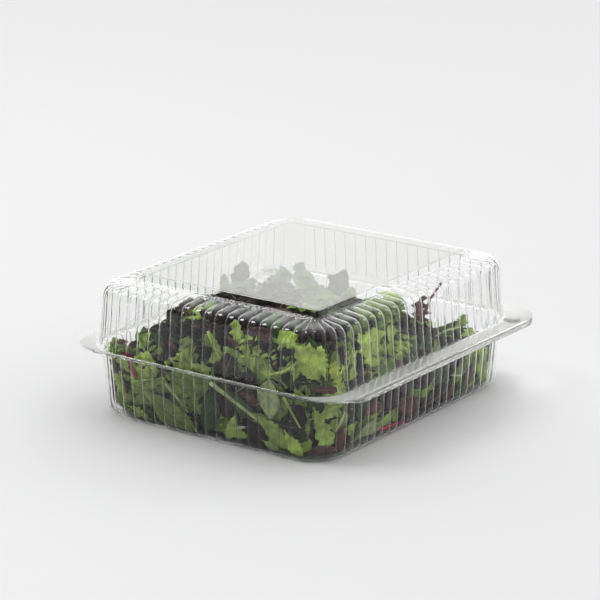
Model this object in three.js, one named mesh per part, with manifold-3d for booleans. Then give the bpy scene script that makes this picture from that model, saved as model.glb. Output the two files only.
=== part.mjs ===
// A clear hinged food box with ribbed walls, shut over a heap of salad leaves.
// Millimetres, +Z up, origin at the middle of the box's underside. The hinge is on the -Y side.
import * as THREE from 'three';
import { mergeVertices } from 'three/addons/utils/BufferGeometryUtils.js';
import Module from 'manifold-3d';

const wasm = await Module();
wasm.setup();

// The sheet that both halves are formed from
const sheet = 0.8;
const gap = 0.35;

// Lower half
const underHalfX = 92;
const underHalfY = 108.5;
const rimHeight = 45.6;
const wallFlare = 2.8;
const wallCorner = 27;
const footRound = 6;

// Ribs
const ribDepth = 1.4;
const ribsAcross = 16;
const ribsAlong = 20;
const ribsInCorner = 5;
const ribFlank = 0.24;

// Flange round the rim, narrow at the hinge and wide where the halves close
const flangeHalfX = 107.8;
const flangeHinge = 114.4;
const flangeFront = 127.9;
const flangeCorner = 22;
const skirtDrop = 4.9;
const lipDrop = 3.1;
const skirtFadeFrom = -112;
const skirtFadeTo = -84;

// Upper half
const lidWallHalfX = 96.4;
const lidWallLean = 2.4;
const lidWallTop = 79.5;
const shoulderRun = 6.8;
const shoulderRise = 8.2;
const ledgeHeight = 88.6;
const stepLean = 1;
const panelHalfX = 71.6;
const panelHalfY = 85.1;
const panelHeight = 93.3;
const panelCorner = 4;
const ledgeWidth = 2.2;

// Hinge bead and the buttons that lock the corners
const beadRadius = 0.85;
const hingeY = -(flangeHinge + gap + beadRadius);
const hingeZ = rimHeight + gap / 2;
const beadHalfLength = 84;
const buttonX = 100.2;
const buttonY = 98.5;
const buttonRadius = 5.9;
const buttonHeight = 2.4;

// Salad
const leafThickness = 1.1;
const leafClearance = 1.5;
const tuftHeight = 8;
const coreSides = 36;
const coreSink = 2;
const leafLayer = 2.2;
const seed = 7;

const clearPlastic = new THREE.MeshStandardMaterial({
  color: 0xeef1f0, roughness: 0.06, metalness: 0, transparent: true, opacity: 0.25,
});
const leafGreen = new THREE.MeshStandardMaterial({ color: 0x6f8f3a, roughness: 0.55, metalness: 0 });

const mix = (a, b, t) => a + (b - a) * t;
const lidWallHalfY = lidWallHalfX + underHalfY - underHalfX;
const lidFloor = rimHeight + gap;

// Eight stretches go round an outline: a side, then the corner after it, counter-clockwise
function outlinePoint(stretch, t, halfX, halfY, radius, middleY = 0) {
  const turn = Math.floor(stretch / 2);
  const from = (turn * Math.PI) / 2;
  const middle = new THREE.Vector2(0, middleY);
  if (stretch % 2 === 1) {
    return outlineCorner(turn, halfX, halfY, radius, from + (t * Math.PI) / 2).add(middle);
  }
  const before = outlineCorner(turn + 3, halfX, halfY, radius, from);
  const after = outlineCorner(turn, halfX, halfY, radius, from);
  return before.lerp(after, t).add(middle);
}

function outlineCorner(turn, halfX, halfY, radius, angle) {
  const cornerX = (halfX - radius) * [1, -1, -1, 1][turn % 4];
  const cornerY = (halfY - radius) * [1, 1, -1, -1][turn % 4];
  return new THREE.Vector2(cornerX + radius * Math.cos(angle), cornerY + radius * Math.sin(angle));
}

// Stations round a ribbed wall: where each point lies, and how far it sinks into a groove (0 to 1)
function ribStations(fractions, depths) {
  const stations = [];
  for (let stretch = 0; stretch < 8; stretch++) {
    const turn = Math.floor(stretch / 2);
    const sideRibs = turn % 2 === 0 ? ribsAlong : ribsAcross;
    const ribs = stretch % 2 === 0 ? sideRibs : ribsInCorner;
    for (let rib = 0; rib < ribs; rib++) {
      fractions.forEach((fraction, i) => {
        stations.push({ stretch, t: (rib + fraction) / ribs, depth: depths[i] });
      });
    }
  }
  return stations;
}

function plainStations(sideSteps, cornerSteps) {
  const stations = [];
  for (let stretch = 0; stretch < 8; stretch++) {
    const steps = stretch % 2 === 0 ? sideSteps : cornerSteps;
    for (let i = 0; i < steps; i++) stations.push({ stretch, t: i / steps, depth: 0 });
  }
  return stations;
}

const outerRibs = ribStations([0, ribFlank, 1 - ribFlank], [1, 0, 0]);
const innerRibs = ribStations([0, 0.5], [1, 0]);
const rimStations = plainStations(5, 7);
const stepStations = plainStations(1, 6);

// One ring of a wall. The inset is measured from the wall's outline at the rim; a groove
// sinks along the wall's own normal, so its points move inward and down.
function wallRing(stations, wall, level) {
  return stations.map(({ stretch, t, depth }) => {
    const sink = depth * ribDepth * level.relief;
    const inset = level.inset + sink * level.normal[0];
    const radius = Math.max(wall.radius - inset * wall.radiusFall, 1);
    const spot = outlinePoint(stretch, t, wall.halfX - inset, wall.halfY - inset, radius);
    return new THREE.Vector3(spot.x, spot.y, level.z - sink * level.normal[1]);
  });
}

function rimRing(inset, z) {
  const halfY = (flangeFront + flangeHinge) / 2;
  const middleY = (flangeFront - flangeHinge) / 2;
  return rimStations.map(({ stretch, t }) => {
    const spot = outlinePoint(stretch, t, flangeHalfX - inset, halfY - inset, flangeCorner - inset, middleY);
    return new THREE.Vector3(spot.x, spot.y, typeof z === 'function' ? z(spot) : z);
  });
}

function stepRing(grow, z) {
  return stepStations.map(({ stretch, t }) => {
    const spot = outlinePoint(stretch, t, panelHalfX + grow, panelHalfY + grow, panelCorner + grow);
    return new THREE.Vector3(spot.x, spot.y, z);
  });
}

// A closed surface is collected triangle by triangle and handed on as a geometry
function surface() {
  const positions = [];
  const triangle = (a, b, c) => positions.push(...a.toArray(), ...b.toArray(), ...c.toArray());
  return {
    strip(lower, upper) {
      lower.forEach((corner, i) => {
        const next = (i + 1) % lower.length;
        triangle(corner, lower[next], upper[next]);
        triangle(corner, upper[next], upper[i]);
      });
    },
    cap(ring, hole, up) {
      const flat = (points) => points.map((p) => new THREE.Vector2(p.x, p.y));
      const all = hole ? [...ring, ...hole] : ring;
      THREE.ShapeUtils.triangulateShape(flat(ring), hole ? [flat(hole)] : []).forEach((face) => {
        const [a, b, c] = face.map((i) => all[i]);
        const leftTurn = (b.x - a.x) * (c.y - a.y) - (b.y - a.y) * (c.x - a.x) > 0;
        if (leftTurn === up) triangle(a, b, c);
        else triangle(a, c, b);
      });
    },
    grid(rows, flip) {
      for (let i = 0; i + 1 < rows.length; i++) {
        for (let j = 0; j + 1 < rows[i].length; j++) {
          const corners = [rows[i][j], rows[i + 1][j], rows[i + 1][j + 1], rows[i][j + 1]];
          if (flip) corners.reverse();
          triangle(corners[0], corners[1], corners[2]);
          triangle(corners[0], corners[2], corners[3]);
        }
      }
    },
    geometry() {
      const geometry = new THREE.BufferGeometry();
      geometry.setAttribute('position', new THREE.Float32BufferAttribute(positions, 3));
      return geometry;
    },
  };
}

function toSolid(geometry) {
  const bare = geometry.clone();
  bare.deleteAttribute('normal');
  bare.deleteAttribute('uv');
  const merged = mergeVertices(bare, 1e-4);
  return new wasm.Manifold(new wasm.Mesh({
    numProp: 3,
    vertProperties: new Float32Array(merged.attributes.position.array),
    triVerts: new Uint32Array(merged.index.array),
  }));
}

function toGeometry(solid) {
  const mesh = solid.getMesh();
  const geometry = new THREE.BufferGeometry();
  geometry.setAttribute('position', new THREE.BufferAttribute(new Float32Array(mesh.vertProperties), 3));
  geometry.setIndex(new THREE.BufferAttribute(new Uint32Array(mesh.triVerts), 1));
  return geometry;
}

// The biggest body of a join, so that loose scraps and sealed hollows go
function mainBody(solid) {
  return solid.decompose().reduce((best, part) => (part.volume() > best.volume() ? part : best));
}

const baseWall = {
  halfX: underHalfX + wallFlare, halfY: underHalfY + wallFlare, radius: wallCorner, radiusFall: 0.5,
};
const lidWall = { halfX: lidWallHalfX, halfY: lidWallHalfY, radius: wallCorner, radiusFall: 0.86 };

function baseLevels(offset) {
  const rounded = footRound * (1 - Math.SQRT1_2);
  return {
    foot: { inset: wallFlare + footRound, z: offset, relief: 0.6, normal: [1, 0] },
    turn: { inset: wallFlare + rounded + offset, z: rounded, relief: 1, normal: [1, 0] },
    low: { inset: wallFlare * (1 - footRound / rimHeight) + offset, z: footRound, relief: 1, normal: [1, 0] },
    top: { inset: offset, z: rimHeight, relief: 1, normal: [1, 0] },
  };
}

// A band round the flange's edge, hanging below it: it fades out towards the hinge side
function edgeBand(inset, top, drop, hidden) {
  const bottom = (spot) => {
    const fade = THREE.MathUtils.smoothstep(spot.y, skirtFadeFrom, skirtFadeTo);
    return mix(hidden, drop, fade);
  };
  const outerTop = rimRing(inset, top);
  const outerBottom = rimRing(inset, bottom);
  const innerTop = rimRing(inset + sheet, top);
  const innerBottom = rimRing(inset + sheet, bottom);
  const band = surface();
  band.strip(outerBottom, outerTop);
  band.strip(outerTop, innerTop);
  band.strip(innerTop, innerBottom);
  band.strip(innerBottom, outerBottom);
  return toSolid(band.geometry());
}

function cornerButton(side, radius, bottom, top) {
  const button = new THREE.CylinderGeometry(radius * 0.78, radius, top - bottom, 14);
  button.rotateX(Math.PI / 2);
  button.translate(side * buttonX, buttonY, (bottom + top) / 2);
  return toSolid(button);
}

function hingeBead() {
  const bead = new THREE.CylinderGeometry(beadRadius, beadRadius, 2 * beadHalfLength, 8);
  bead.rotateZ(Math.PI / 2);
  bead.translate(0, hingeY, hingeZ);
  const webEnd = -(flangeHinge - 2 * sheet - gap);
  const web = new THREE.BoxGeometry(2 * beadHalfLength, webEnd - hingeY, sheet * 0.8);
  web.translate(0, (webEnd + hingeY) / 2, rimHeight - sheet / 2);
  return toSolid(bead).add(toSolid(web));
}

function lowerHalf() {
  const outside = baseLevels(0);
  const inside = baseLevels(sheet);
  const underFlange = { ...outside.top, z: rimHeight - sheet };
  const lipInset = sheet + gap;
  const foot = wallRing(outerRibs, baseWall, outside.foot);
  const turn = wallRing(outerRibs, baseWall, outside.turn);
  const low = wallRing(outerRibs, baseWall, outside.low);
  const neck = wallRing(outerRibs, baseWall, underFlange);
  const mouth = wallRing(innerRibs, baseWall, inside.top);
  const innerLow = wallRing(innerRibs, baseWall, inside.low);
  const floor = wallRing(innerRibs, baseWall, inside.foot);
  const edgeBelow = rimRing(lipInset, rimHeight - sheet);
  const edgeAbove = rimRing(lipInset, rimHeight);
  const shell = surface();
  shell.cap(foot, null, false);
  shell.strip(foot, turn);
  shell.strip(turn, low);
  shell.strip(low, neck);
  shell.cap(edgeBelow, neck, false);
  shell.strip(edgeBelow, edgeAbove);
  shell.cap(edgeAbove, mouth, true);
  shell.strip(mouth, innerLow);
  shell.strip(innerLow, floor);
  shell.cap(floor, null, true);
  const lip = edgeBand(lipInset, rimHeight - sheet * 0.3, rimHeight - lipDrop, rimHeight - sheet * 0.7);
  let solid = toSolid(shell.geometry()).add(lip).add(hingeBead());
  const buttonTop = rimHeight + buttonHeight - sheet;
  for (const side of [-1, 1]) {
    solid = solid.add(cornerButton(side, buttonRadius - sheet - gap, rimHeight - sheet / 2, buttonTop));
  }
  return solid;
}

// The lid's profile, as insets from its wall at the flange, with the normals that grooves sink along
function lidLevels() {
  const shoulder = lidWallLean + shoulderRun;
  const ledgeInset = lidWallHalfX - panelHalfX - stepLean - ledgeWidth;
  return {
    wallFoot: { inset: 0, z: lidFloor + sheet, relief: 1, normal: [1, 0] },
    wallTop: { inset: lidWallLean, z: lidWallTop, relief: 1, normal: [1, 0.15] },
    bend: {
      inset: lidWallLean + shoulderRun * 0.26, z: lidWallTop + shoulderRise * 0.72, relief: 1, normal: [0.7, 0.7],
    },
    shoulder: { inset: shoulder, z: lidWallTop + shoulderRise, relief: 1, normal: [0.1, 1] },
    ledge: { inset: ledgeInset, z: ledgeHeight, relief: 0, normal: [0, 1] },
  };
}

function inward(level, distance = sheet) {
  const [inX, down] = level.normal;
  return { ...level, inset: level.inset + distance * inX, z: level.z - distance * down };
}

function upperHalf() {
  const level = lidLevels();
  const outer = (name) => wallRing(outerRibs, lidWall, level[name]);
  const inner = (name) => wallRing(innerRibs, lidWall, inward(level[name]));
  const [foot, wallTop, bend, shoulder, ledge] = ['wallFoot', 'wallTop', 'bend', 'shoulder', 'ledge'].map(outer);
  const mouth = wallRing(innerRibs, lidWall, { ...inward(level.wallFoot), z: lidFloor });
  const [innerTop, innerShoulder, innerLedge] = ['wallTop', 'shoulder', 'ledge'].map(inner);
  const shell = surface();
  shell.strip(foot, wallTop);
  shell.strip(wallTop, bend);
  shell.strip(bend, shoulder);
  shell.strip(shoulder, ledge);
  shell.cap(ledge, stepRing(stepLean, ledgeHeight), true);
  shell.strip(stepRing(stepLean, ledgeHeight), stepRing(0, panelHeight));
  shell.cap(stepRing(0, panelHeight), null, true);
  shell.cap(stepRing(-sheet, panelHeight - sheet), null, false);
  shell.strip(stepRing(-sheet, panelHeight - sheet), stepRing(stepLean - sheet, ledgeHeight - sheet));
  shell.cap(innerLedge, stepRing(stepLean - sheet, ledgeHeight - sheet), false);
  shell.strip(innerLedge, innerShoulder);
  shell.strip(innerShoulder, innerTop);
  shell.strip(innerTop, mouth);
  const edgeAbove = rimRing(0, lidFloor + sheet);
  const edgeBelow = rimRing(0, lidFloor);
  shell.cap(edgeBelow, mouth, false);
  shell.strip(edgeBelow, edgeAbove);
  shell.cap(edgeAbove, foot, true);
  const skirt = edgeBand(0, lidFloor + sheet * 0.7, lidFloor - skirtDrop, lidFloor + sheet * 0.3);
  let solid = toSolid(shell.geometry()).add(skirt);
  for (const side of [-1, 1]) {
    solid = solid.add(cornerButton(side, buttonRadius, lidFloor + sheet / 2, lidFloor + buttonHeight));
    const hollow = cornerButton(side, buttonRadius - sheet, lidFloor - sheet, lidFloor + buttonHeight - sheet);
    solid = solid.subtract(hollow);
  }
  return solid;
}

function randomFrom(start) {
  let state = start;
  return () => {
    state = (state * 1664525 + 1013904223) % 4294967296;
    return state / 4294967296;
  };
}

// How high the salad stands: full against the hinge and +X walls, low along the -X side, and
// barely half the base's depth at the end that opens
function moundHeight(x, y) {
  const { smoothstep } = THREE.MathUtils;
  const heaped = smoothstep(x, -80, -24) * (1 - smoothstep(y, -25, 62));
  const end = smoothstep(y, 50, 100);
  return 40 + 38 * heaped - 13 * end - 4 * Math.max(x / underHalfX, 0) ** 4;
}

// Keeps a leaf's middle surface inside the box, with room for its thickness
function keepInside(point, extra = 0) {
  const flare = wallFlare * Math.min(point.z / rimHeight, 1);
  const lean = lidWallLean * Math.max((point.z - rimHeight) / (lidWallTop - rimHeight), 0);
  const round = Math.max(footRound - point.z, 0) * 0.75;
  const shoulder = Math.max(point.z - lidWallTop + 4, 0) * 1.6;
  const inset = ribDepth + sheet + leafClearance + leafThickness / 2 + extra + lean + round + shoulder;
  const halfX = underHalfX + flare - inset;
  const halfY = underHalfY + flare - inset;
  const corner = wallCorner - 6;
  const pastX = Math.abs(point.x) - (halfX - corner);
  const pastY = Math.abs(point.y) - (halfY - corner);
  if (pastX > 0 && pastY > 0) {
    const reach = Math.hypot(pastX, pastY);
    if (reach > corner) {
      point.x = Math.sign(point.x) * (halfX - corner + (pastX * corner) / reach);
      point.y = Math.sign(point.y) * (halfY - corner + (pastY * corner) / reach);
    }
  }
  point.x = THREE.MathUtils.clamp(point.x, -halfX, halfX);
  point.y = THREE.MathUtils.clamp(point.y, -halfY, halfY);
  const mound = moundHeight(point.x, point.y);
  const proud = Math.max(point.z - mound, 0);
  point.z -= proud - tuftHeight * (1 - Math.exp(-proud / tuftHeight));
  const lowest = sheet + leafClearance + leafThickness + extra;
  point.z = THREE.MathUtils.clamp(point.z, lowest, lidWallTop + 5 - extra);
  return point;
}

// The heap under its leaves: rings up the sides, then rings inward over the top
function saladCore() {
  const levels = [
    { z: 0.03, size: 0.86 }, { z: 0.2, size: 0.97 }, { z: 0.6, size: 1 }, { z: 0.94, size: 0.97 },
    { z: 1, size: 0.84 }, { z: 1, size: 0.6 }, { z: 1, size: 0.3 },
  ];
  const bottom = sheet + 1.2;
  const rings = levels.map(({ z, size }, row) => Array.from({ length: coreSides }, (_, i) => {
    const angle = (2 * Math.PI * i) / coreSides;
    const square = Math.max(Math.abs(Math.cos(angle)), Math.abs(Math.sin(angle)));
    const lump = 1 + 0.02 * Math.sin(5 * angle + 2 * row) + 0.015 * Math.sin(9 * angle - row);
    const reach = Math.min(1 / square, 1.28) * size * lump;
    const spot = new THREE.Vector3(
      (underHalfX - 4) * reach * Math.cos(angle),
      (underHalfY - 4) * reach * Math.sin(angle),
      0,
    );
    spot.z = Math.max(bottom, z * (moundHeight(spot.x, spot.y) - coreSink));
    return keepInside(spot, leafLayer);
  }));
  rings[0].forEach((spot) => { spot.z = bottom; });
  const top = new THREE.Vector3(0, 0, moundHeight(0, 0) - coreSink);
  const core = surface();
  core.cap(rings[0], null, false);
  for (let i = 0; i + 1 < rings.length; i++) core.strip(rings[i], rings[i + 1]);
  core.strip(rings.at(-1), rings.at(-1).map(() => top));
  const merged = mergeVertices(core.geometry(), 1e-4);
  return toSolid(dropFlatTriangles(merged));
}

function dropFlatTriangles(geometry) {
  const index = geometry.index.array;
  const kept = [];
  for (let i = 0; i < index.length; i += 3) {
    const [a, b, c] = [index[i], index[i + 1], index[i + 2]];
    if (a !== b && b !== c && a !== c) kept.push(a, b, c);
  }
  geometry.setIndex(kept);
  return geometry;
}

// Leaf kinds: the half width along the leaf, from stalk to tip, as a share of its widest place
const leafKinds = {
  round: { length: 46, width: 32, halfWidths: [0.14, 0.8, 1, 0.82, 0.2], wave: 2.2 },
  lobed: { length: 54, width: 36, halfWidths: [0.12, 0.62, 0.5, 1, 0.45], wave: 3.4 },
  ruffled: { length: 48, width: 42, halfWidths: [0.2, 0.7, 0.95, 1, 0.62], wave: 4.2 },
  long: { length: 58, width: 15, halfWidths: [0.22, 0.5, 1, 0.7, 0.16], wave: 2 },
};

// One leaf as a thin wavy solid. The frame's X runs from stalk to tip, Y across, Z out of the face.
function leafSolid(kind, frame, bend, draw) {
  const { length, width, halfWidths, wave } = leafKinds[kind];
  const phase = draw() * 2 * Math.PI;
  const size = mix(0.82, 1.12, draw());
  const depth = 1.4 * draw();
  const middle = halfWidths.map((share, row) => {
    const along = row / (halfWidths.length - 1);
    return [-1, 0, 1].map((side) => {
      const across = side * share * width * 0.5 * size;
      const ripple = wave * Math.sin(phase + 7 * along + 2.1 * side) * Math.abs(side) * share;
      const cup = 0.1 * Math.abs(across);
      const spot = new THREE.Vector3(length * size * (along - 0.1), across, ripple + cup - bend * (1 - along) ** 2);
      return keepInside(spot.applyMatrix4(frame), depth);
    });
  });
  const out = new THREE.Vector3().setFromMatrixColumn(frame, 2).multiplyScalar(leafThickness / 2);
  const front = middle.map((row) => row.map((spot) => spot.clone().add(out)));
  const back = middle.map((row) => row.map((spot) => spot.clone().sub(out)));
  const edge = (rows) => [
    ...rows.map((row) => row[0]), rows.at(-1)[1], ...rows.map((row) => row[2]).reverse(), rows[0][1],
  ];
  const leaf = surface();
  leaf.grid(front, false);
  leaf.grid(back, true);
  leaf.strip(edge(back), edge(front));
  return toSolid(leaf.geometry());
}

function leafFrame(root, along, face) {
  const across = new THREE.Vector3().crossVectors(face, along).normalize();
  const out = new THREE.Vector3().crossVectors(along, across).normalize();
  return new THREE.Matrix4().makeBasis(along.clone().normalize(), across, out).setPosition(root);
}

// Leaves pressed against the walls: the stalk end bends back into the heap
function wallLeaves(draw) {
  const kinds = ['round', 'lobed', 'ruffled', 'round', 'long', 'lobed'];
  const count = 30;
  const leaves = [];
  for (let i = 0; i < count; i++) {
    const place = (i + 0.35 * draw()) / count;
    const stretch = Math.floor(place * 4) * 2;
    const spot = outlinePoint(stretch, (place * 4) % 1, underHalfX - 7, underHalfY - 7, wallCorner - 7);
    const angle = (Math.floor(place * 4) * Math.PI) / 2;
    const face = new THREE.Vector3(Math.cos(angle), Math.sin(angle), 0);
    const level = mix(0.16, 0.62, (i * 0.618) % 1);
    const height = level * moundHeight(spot.x, spot.y);
    const lean = mix(-0.4, 3.6, draw());
    const along = new THREE.Vector3(-face.y, face.x, 0).multiplyScalar(Math.cos(lean));
    along.z = Math.sin(lean);
    const root = new THREE.Vector3(spot.x, spot.y, height).addScaledVector(along, -12);
    leaves.push(leafSolid(kinds[i % kinds.length], leafFrame(root, along, face), 11, draw));
  }
  return leaves;
}

// Leaves on top of the heap, rooted in it and leaning all ways
function topLeaves(draw) {
  const kinds = ['lobed', 'ruffled', 'round', 'long'];
  const leaves = [];
  const count = 19;
  for (let i = 0; i < count; i++) {
    const turn = i * 2.39996;
    const reach = Math.sqrt((i + 0.5) / count);
    const x = underHalfX * 0.78 * reach * Math.cos(turn);
    const y = underHalfY * 0.8 * reach * Math.sin(turn) - 4;
    const heading = turn + mix(-1.2, 1.2, draw());
    const rise = mix(0.1, 0.75, draw());
    const along = new THREE.Vector3(Math.cos(heading), Math.sin(heading), rise);
    const face = new THREE.Vector3(-rise * Math.cos(heading), -rise * Math.sin(heading), 1);
    const root = new THREE.Vector3(x, y, moundHeight(x, y) - 6);
    leaves.push(leafSolid(kinds[i % kinds.length], leafFrame(root, along, face), 4, draw));
  }
  return leaves;
}

function saladHeap() {
  const draw = randomFrom(seed);
  const heap = [...wallLeaves(draw), ...topLeaves(draw)].reduce((sum, leaf) => sum.add(leaf), saladCore());
  return mainBody(heap);
}

function part(name, solid, material) {
  const mesh = new THREE.Mesh(toGeometry(solid), material);
  mesh.name = name;
  return mesh;
}

const box = new THREE.Group();
box.add(part('base', lowerHalf(), clearPlastic));
box.add(part('lid', upperHalf(), clearPlastic));
box.add(part('salad', saladHeap(), leafGreen));

export default box;
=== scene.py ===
import bmesh
import bpy
import math
import random
from mathutils import Euler, Matrix, Vector, noise


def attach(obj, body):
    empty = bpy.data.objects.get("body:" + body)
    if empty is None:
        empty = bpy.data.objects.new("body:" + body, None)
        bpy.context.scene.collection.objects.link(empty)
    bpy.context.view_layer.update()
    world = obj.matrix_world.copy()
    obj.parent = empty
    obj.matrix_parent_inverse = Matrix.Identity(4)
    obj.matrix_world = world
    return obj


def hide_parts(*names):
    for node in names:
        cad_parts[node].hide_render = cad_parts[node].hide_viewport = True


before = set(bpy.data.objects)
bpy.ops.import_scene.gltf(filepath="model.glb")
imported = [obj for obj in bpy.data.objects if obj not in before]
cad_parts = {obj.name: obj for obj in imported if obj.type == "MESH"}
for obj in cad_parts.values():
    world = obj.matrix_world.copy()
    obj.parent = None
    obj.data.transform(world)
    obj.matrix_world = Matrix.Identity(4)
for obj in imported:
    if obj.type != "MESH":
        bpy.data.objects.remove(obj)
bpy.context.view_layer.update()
mm = 0.001  # the sizes below are in millimetres

# the box, as its solids have it
box = {
    "rimHeight": 45.6, "halfX": 92.0, "halfY": 108.5, "flare": 2.8, "corner": 27.0, "foot": 6.0,
    "ribDepth": 1.15, "ribsAcross": 16, "ribsAlong": 20, "ribsInCorner": 5,
    "flangeHalfX": 107.8, "flangeHinge": 114.4, "flangeFront": 127.9, "flangeCorner": 22.0,
    "sheet": 0.42, "gap": 0.35,
    "skirtDrop": 4.9, "lipDrop": 3.1, "fadeFrom": -112.0, "fadeTo": -84.0,
    "floorLift": 0.9, "baseFillet": 1.4, "lidFillet": 1.6,
}
lid = {
    "halfX": 96.4, "lean": 2.4, "wallTop": 79.5, "shoulderRun": 6.8, "shoulderRise": 8.2,
    "ledge": 88.6, "stepLean": 1.0, "panelHalfX": 71.6, "panelHalfY": 85.1, "panel": 93.3,
    "panelCorner": 4.0, "ledgeWidth": 2.2,
}
lidFloor = box["rimHeight"] + box["gap"]


def smoothstep(value, low, high):
    t = min(max((value - low) / (high - low), 0.0), 1.0)
    return t * t * (3 - 2 * t)


def mix(a, b, t):
    return a + (b - a) * t


# outline and ribs
def outlinePoint(stretch, t, halfX, halfY, radius, middleY=0.0):
    turn = stretch // 2
    signX = (1, -1, -1, 1)
    signY = (1, 1, -1, -1)
    angle = turn * math.pi / 2

    def onCorner(k, a):
        return Vector(((halfX - radius) * signX[k % 4] + radius * math.cos(a),
                       middleY + (halfY - radius) * signY[k % 4] + radius * math.sin(a)))

    if stretch % 2 == 1:
        return onCorner(turn, angle + t * math.pi / 2)
    return onCorner(turn + 3, angle).lerp(onCorner(turn, angle), t)


ribSteps = (0.0, 0.035, 0.09, 0.18, 0.32, 0.5, 0.68, 0.82, 0.91, 0.965)


def ribSink(f):
    return abs(2 * f - 1) ** 4


stations = []
for stretch in range(8):
    sideRibs = box["ribsAlong"] if (stretch // 2) % 2 == 0 else box["ribsAcross"]
    ribs = sideRibs if stretch % 2 == 0 else box["ribsInCorner"]
    for rib in range(ribs):
        for f in ribSteps:
            stations.append((stretch, (rib + f) / ribs, ribSink(f)))


def wallSpot(i, halfX, halfY, inset, z, relief=1.0, normal=(1.0, 0.0), radiusFall=0.7):
    stretch, t, depth = stations[i]
    sink = depth * box["ribDepth"] * relief
    inset = inset + sink * normal[0]
    radius = max(box["corner"] - inset * radiusFall, 1.0)
    spot = outlinePoint(stretch, t, halfX - inset, halfY - inset, radius)
    return Vector((spot.x, spot.y, z - sink * normal[1]))


def rimSpot(i, inset, z):
    halfY = (box["flangeFront"] + box["flangeHinge"]) / 2
    middleY = (box["flangeFront"] - box["flangeHinge"]) / 2
    stretch, t = stations[i][:2]
    spot = outlinePoint(stretch, t, box["flangeHalfX"] - inset, halfY - inset,
                        box["flangeCorner"] - inset, middleY)
    return Vector((spot.x, spot.y, z))


# the lip and the skirt run out towards the hinge
def fadedDrop(y, drop):
    return mix(0.25, drop, smoothstep(y, box["fadeFrom"], box["fadeTo"]))


def sweptSheet(levels):
    # each level is a function that gives the spot at a station
    bm = bmesh.new()
    order = bm.verts.layers.int.new("station")
    ring = bmesh.ops.create_circle(bm, segments=len(stations), radius=1.0)
    for i, v in enumerate(ring["verts"]):
        v[order] = i
        v.co = levels[0](i) * mm
    edges = list(bm.edges)
    firstRing = list(edges)
    for level in levels[1:]:
        grown = bmesh.ops.extrude_edge_only(bm, edges=edges)["geom"]
        edges = [g for g in grown if isinstance(g, bmesh.types.BMEdge) and len(g.link_faces) == 1]
        for v in {v for e in edges for v in e.verts}:
            v.co = level(v[order]) * mm
    bmesh.ops.contextual_create(bm, geom=firstRing)
    bmesh.ops.remove_doubles(bm, verts=bm.verts, dist=1e-6)
    bmesh.ops.recalc_face_normals(bm, faces=bm.faces)
    return bm


def finishSheet(bm, name, outward):
    # outward is the way the first closed face looks
    flat = max(bm.faces, key=lambda face: len(face.verts))
    if flat.normal.z * outward < 0:
        bmesh.ops.reverse_faces(bm, faces=bm.faces)
    bmesh.ops.solidify(bm, geom=bm.faces[:], thickness=box["sheet"] * mm)
    return newPiece(name, bm)


def newPiece(name, bm, smooth=True):
    mesh = bpy.data.meshes.new(name)
    bm.to_mesh(mesh)
    bm.free()
    piece = bpy.data.objects.new(name, mesh)
    bpy.context.scene.collection.objects.link(piece)
    for polygon in mesh.polygons:
        polygon.use_smooth = smooth
    return piece


# base
def basePiece():
    wall = {"halfX": box["halfX"] + box["flare"], "halfY": box["halfY"] + box["flare"]}
    foot = box["foot"]
    t = box["sheet"]
    edge = t * 2 + box["gap"]  # the lid's skirt hangs outside the lip

    def at(inset, z, relief=1.0, normal=(1.0, 0.0)):
        def spot(i):
            p = wallSpot(i, wall["halfX"], wall["halfY"], inset, z, relief, normal, 0.5)
            p.y = max(p.y, edge + 1.0 - box["flangeHinge"])
            return p
        return spot

    # the middle of the floor stands a little off the table
    levels = [
        at(box["flare"] + foot + 6, box["floorLift"], 0.0),
        at(box["flare"] + foot + 4, box["floorLift"], 0.0),
        at(box["flare"] + foot + 2.2, 0.25, 0.15),
        at(box["flare"] + foot, 0.0, 0.5),
    ]
    for step in range(1, 5):
        a = step * math.pi / 8
        levels.append(at(box["flare"] * (1 - foot * (1 - math.cos(a)) / box["rimHeight"])
                         + foot * (1 - math.sin(a)), foot * (1 - math.cos(a)), 1.0,
                         (math.sin(a), -math.cos(a) * 0.4)))
    fillet = box["baseFillet"]
    under = box["rimHeight"] - t
    levels.append(at(box["flare"] * 0.5, box["rimHeight"] * 0.5))
    levels.append(at(0.15, under - fillet))
    levels.append(at(-fillet * 0.3, under - fillet * 0.3, 0.6))
    levels.append(at(-fillet, under, 0.0))
    levels.append(lambda i: rimSpot(i, edge + 0.9, under))
    levels.append(lambda i: rimSpot(i, edge, under - 0.12))

    def lipBottom(i):
        spot = rimSpot(i, edge, under)
        return Vector((spot.x, spot.y, under - fadedDrop(spot.y, box["lipDrop"] - t)))

    levels.append(lipBottom)
    return finishSheet(sweptSheet(levels), "base_shell", -1)


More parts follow.
